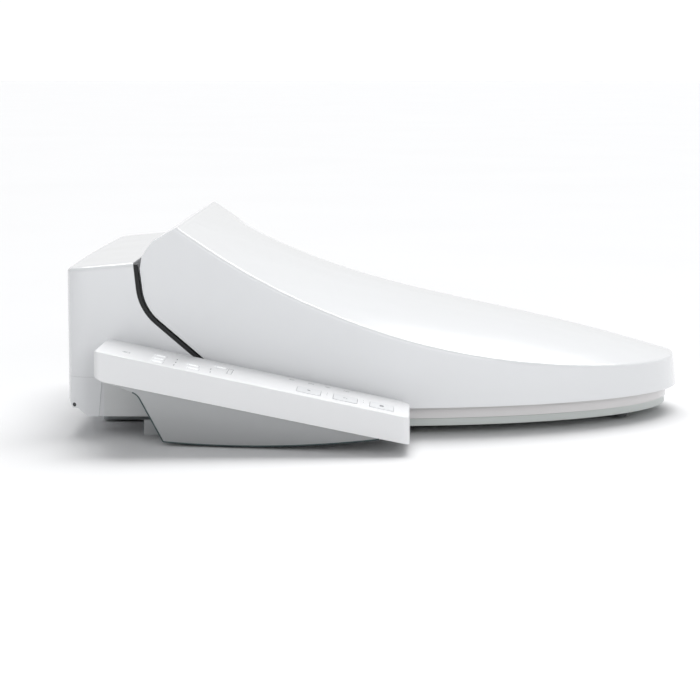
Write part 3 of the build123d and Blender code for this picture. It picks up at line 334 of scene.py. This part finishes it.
def print_on_arm(name, outlines, body="base", up=PRINT_UP, material="print_grey"):
    """Thin printed marks: closed outlines of (x, y along the slope) from a centre."""
    bm = bmesh.new()
    for (cx, cy), points in outlines:
        origin = arm_point(cx, cy, up)
        low = [bm.verts.new(origin + Vector((px, 0, 0)) + arm_back * py) for px, py in points]
        face = bm.faces.new(low)
        grown = bmesh.ops.extrude_face_region(bm, geom=[face])
        tops = [g for g in grown["geom"] if isinstance(g, bmesh.types.BMVert)]
        bmesh.ops.translate(bm, verts=tops, vec=arm_normal * PRINT_THICK)
    mesh_piece(name, bm, material, body)


def bar(x0, x1, y0, y1):
    """Rectangular outline."""
    return [(x0, y0), (x1, y0), (x1, y1), (x0, y1)]


def arc_band(r_in, r_out, start, end):
    """Closed outline of a band between two radii, angles in degrees from +x."""
    turn = [math.radians(start + (end - start) * i / ARC_STEPS) for i in range(ARC_STEPS + 1)]
    outer = [(r_out * math.cos(a), r_out * math.sin(a)) for a in turn]
    inner = [(r_in * math.cos(a), r_in * math.sin(a)) for a in reversed(turn)]
    return outer + inner


# ------------------------------------------------------------------ camera, floor and light
def camera():
    """Long lens on the user's right, looking slightly down."""
    data = bpy.data.cameras.new("camera")
    data.lens = CAMERA_LENS
    data.sensor_width = SENSOR_WIDTH
    cam = bpy.data.objects.new("camera", data)
    bpy.context.scene.collection.objects.link(cam)
    cam.location = (-CAMERA_DISTANCE, CAMERA_Y, CAMERA_Z)
    level = math.cos(CAMERA_PITCH)
    forward = Vector((
        math.cos(CAMERA_YAW) * level,
        math.sin(CAMERA_YAW) * level,
        -math.sin(CAMERA_PITCH),
    ))
    cam.rotation_mode = "QUATERNION"
    cam.rotation_quaternion = forward.to_track_quat("-Z", "Y")
    data.clip_start = VIEW_NEAR
    data.clip_end = VIEW_FAR
    bpy.context.scene.camera = cam


def side_fill():
    """Soft rectangular light that lifts the side facing the camera."""
    data = bpy.data.lights.new("side_fill", "AREA")
    data.shape = "RECTANGLE"
    data.size, data.size_y = FILL_SIZE
    data.energy = FILL_WATTS
    obj = bpy.data.objects.new("side_fill", data)
    bpy.context.scene.collection.objects.link(obj)
    obj.location = FILL_PLACE
    obj.rotation_mode = "QUATERNION"
    obj.rotation_quaternion = (Vector(FILL_AIM) - Vector(FILL_PLACE)).to_track_quat("-Z", "Y")


def floor():
    """Plain white floor."""
    mesh = bpy.data.meshes.new("floor")
    half = FLOOR_SIZE / 2
    z = cad_box[0].z - FLOOR_DROP
    corners = [(-half, -half, z), (half, -half, z), (half, half, z), (-half, half, z)]
    mesh.from_pydata(corners, [], [(0, 1, 2, 3)])
    obj = bpy.data.objects.new("floor", mesh)
    bpy.context.scene.collection.objects.link(obj)
    mat, tree, shader = new_material("floor_white")
    tint(tree, shader, noise(tree, 2.0), *FLOOR_SHADES)
    shader.inputs["Roughness"].default_value = 0.75
    shader.inputs["Specular IOR Level"].default_value = 0.2
    mesh.materials.append(mat)


def world():
    """Even dim studio air, with white walls where it shows behind the floor or in a reflection."""
    scene = bpy.context.scene
    scene.world = bpy.data.worlds.new("studio")
    scene.world.use_nodes = True
    tree = scene.world.node_tree
    air = tree.nodes["Background"]
    air.inputs["Color"].default_value = AIR_COLOUR
    air.inputs["Strength"].default_value = AIR_STRENGTH
    wall = tree.nodes.new("ShaderNodeBackground")
    wall.inputs["Color"].default_value = (1, 1, 1, 1)
    wall.inputs["Strength"].default_value = WALL_STRENGTH
    seen = tree.nodes.new("ShaderNodeLightPath")
    mix = tree.nodes.new("ShaderNodeMixShader")
    mirrored = tree.nodes.new("ShaderNodeMath")
    mirrored.operation = "MULTIPLY_ADD"
    mirrored.inputs[1].default_value = WALL_IN_REFLECTIONS
    tree.links.new(seen.outputs["Is Glossy Ray"], mirrored.inputs[0])
    tree.links.new(seen.outputs["Is Camera Ray"], mirrored.inputs[2])
    tree.links.new(mirrored.outputs["Value"], mix.inputs["Fac"])
    tree.links.new(air.outputs["Background"], mix.inputs[1])
    tree.links.new(wall.outputs["Background"], mix.inputs[2])
    tree.links.new(mix.outputs["Shader"], tree.nodes["World Output"].inputs["Surface"])
    scene.view_settings.view_transform = "Standard"


def sky_light():
    """Very soft light from overhead, a little from the far side."""
    data = bpy.data.lights.new("sky", "SUN")
    data.energy = SKY_STRENGTH
    data.angle = math.radians(SKY_SPREAD_DEG)
    obj = bpy.data.objects.new("sky", data)
    bpy.context.scene.collection.objects.link(obj)
    obj.rotation_mode = "QUATERNION"
    obj.rotation_quaternion = Vector(SKY_AIM).to_track_quat("-Z", "Y")


# ------------------------------------------------------------------ marks on the control arm
def frame_outline(w, h, line):
    """Four bars round a rectangle of half sizes w and h."""
    return [
        bar(-w, w, h - line, h),
        bar(-w, w, -h, line - h),
        bar(-w, line - w, line - h, h - line),
        bar(w - line, w, line - h, h - line),
    ]


def window_frames():
    """Fine grey line round each light window, on the window's own middle."""
    middles = []
    for face in NODES["indicator_windows"].data.polygons:
        is_top = face.normal.dot(arm_normal) > 0.999 and face.area > WINDOW_FACE
        if is_top and all((m - face.center).length >= WINDOW_PITCH for m in middles):
            middles.append(face.center.copy())
    outlines = frame_outline(FRAME_W, FRAME_H, FRAME_LINE)
    lines = [((m.x, m.y), outline) for m in middles for outline in outlines]
    print_on_arm("window_lines", lines, material="line_grey")


def arm_marks():
    """Plain generic marks: a ring with a bar, dashes, small shapes by the keys."""
    power = on_arm(*POWER_AT)
    stem = bar(-0.3 * MM, 0.3 * MM, 0.8 * MM, 3.6 * MM)
    print_on_arm("mark_power", [(power, arc_band(2.5 * MM, 3.0 * MM, 125, 415)), (power, stem)])

    dash = bar(-0.45 * MM, 0.45 * MM, -2.4 * MM, 2.4 * MM)
    print_on_arm("mark_dashes", [(on_arm(DASH_IN, back), dash) for back in DASHES_BACK])

    level = on_arm(*LEVEL_AT)
    outlines = frame_outline(LEVEL_W, LEVEL_H, LEVEL_LINE)
    print_on_arm("mark_level", [(level, outline) for outline in outlines])

    for i, place in enumerate(LINES_AT):
        print_on_arm(f"mark_line_{i}", [(on_arm(*place), bar(-2.6 * MM, 2.6 * MM, -0.35 * MM, 0.35 * MM))])


def key_marks():
    """One mark on each key, and a short line between neighbours."""
    boxes = [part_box(node) for node in ("stop_button", "rear_wash_button", "front_wash_button")]
    key_x = sum(corner.x for corner in boxes[0]) / 2
    stop_y, rear_y, front_y = ((low.y + high.y) / 2 for low, high in boxes)
    above_key = 0.25 * MM + KEY_TOP

    square = bar(-2.2 * MM, 2.2 * MM, -1.6 * MM, 1.6 * MM)
    print_on_arm("mark_stop", [((key_x, stop_y), square)], "stop_key", above_key)
    ring = arc_band(1.4 * MM, 1.7 * MM, 200, 520)
    print_on_arm("mark_rear_wash", [((key_x, rear_y), ring)], "rear_wash_key", above_key)
    turns = [math.radians(a) for a in range(0, 360, 20)]
    drop = [(1.2 * MM * math.cos(a), 1.4 * MM * math.sin(a)) for a in turns]
    print_on_arm("mark_front_wash", [((key_x, front_y), drop)], "front_wash_key", above_key)

    near = bar(-1.2 * MM, 1.2 * MM, -0.3 * MM, 0.3 * MM)
    far = bar(-1.0 * MM, 1.0 * MM, -0.3 * MM, 0.3 * MM)
    for i, y in enumerate(((stop_y + rear_y) / 2, (rear_y + front_y) / 2)):
        print_on_arm(f"mark_between_{i}", [((key_x, y), near), ((key_x + 10 * MM, y), far)])


# ------------------------------------------------------------------ painted shade line along the keel under the arm
def edge_shade_line(node, keep, radius, name, body, material):
    """Thin round dark tube along the sharp edges of a node that keep() accepts; its colour paints a shade
    line there.
    """
    bm = bmesh.new()
    bm.from_mesh(NODES[node].data)
    bmesh.ops.remove_doubles(bm, verts=bm.verts, dist=1e-6)
    curve = bpy.data.curves.new(name, "CURVE")
    curve.dimensions = "3D"
    curve.bevel_depth = radius
    curve.bevel_resolution = 2
    for e in bm.edges:
        if len(e.link_faces) == 2 and keep(e):
            line = curve.splines.new("POLY")
            line.points.add(1)
            for point, vert in zip(line.points, e.verts):
                point.co = (*vert.co, 1)
    bm.free()
    obj = bpy.data.objects.new(name, curve)
    bpy.context.scene.collection.objects.link(obj)
    curve.materials.append(MATERIALS[material])
    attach(obj, body)


def keel_side_edge(e):
    """Edge of the keel's leaning outer side, where it turns a corner."""
    a, b = (f.normal for f in e.link_faces)
    leaning = [n.x < -0.6 and n.z < -0.4 for n in (a, b)]
    turns = a.angle(b, 0) > math.radians(KEEL_CORNER_DEG)
    return leaning[0] != leaning[1] and turns and all(v.co.z < KEEL_SHADE_LINE_TOP for v in e.verts)


window_frames()
# dark tube of painted shade along the keel's leaning side edges
edge_shade_line("arm_keel", keel_side_edge, KEEL_SHADE_LINE_R, "keel_shade_line", "base", "keel_shade_line")
arm_marks()
key_marks()

world()
camera()
floor()
sky_light()
side_fill()
